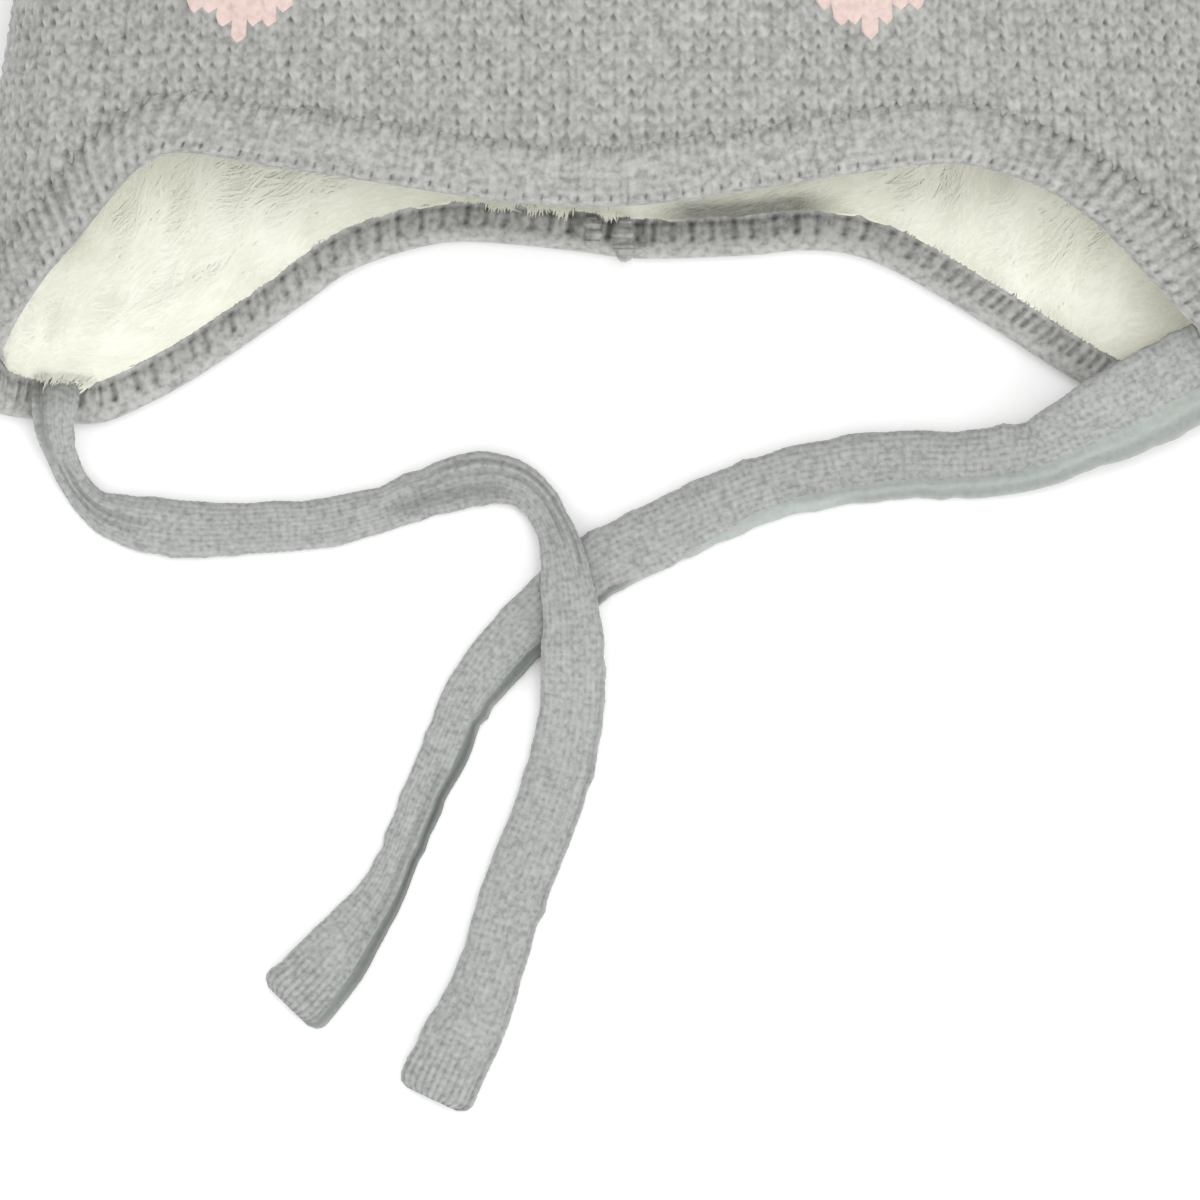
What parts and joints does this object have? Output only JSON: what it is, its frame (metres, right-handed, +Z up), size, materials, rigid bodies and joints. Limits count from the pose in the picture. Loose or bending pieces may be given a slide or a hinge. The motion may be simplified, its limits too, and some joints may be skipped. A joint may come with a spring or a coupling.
{
  "type": "baby hat with ears",
  "caption": "Knitted baby hat with rounded ears, ear flaps, a rib band, a plush lining and flat ties, lying on its back.",
  "frame": {"origin": "middle of the hat's base as it lies, without the ties", "axes": "+X towards the hat's right side as seen, +Y towards the crown, +Z up through the brow"},
  "size_m": [0.221, 0.3148, 0.0543],
  "materials": {
    "grey_knit": "matte knitted",
    "cream_plush": "matte pile",
    "grey_rib": "matte ribbed",
    "grey_tape": "matte knitted"
  },
  "bodies": {
    "root": {"knitted_body": "grey_knit", "plush_lining": "cream_plush", "rim_band": "grey_rib", "left_ear": "grey_knit", "right_ear": "grey_knit", "left_tie": "grey_tape", "right_tie": "grey_tape"}
  },
  "joints": []
}
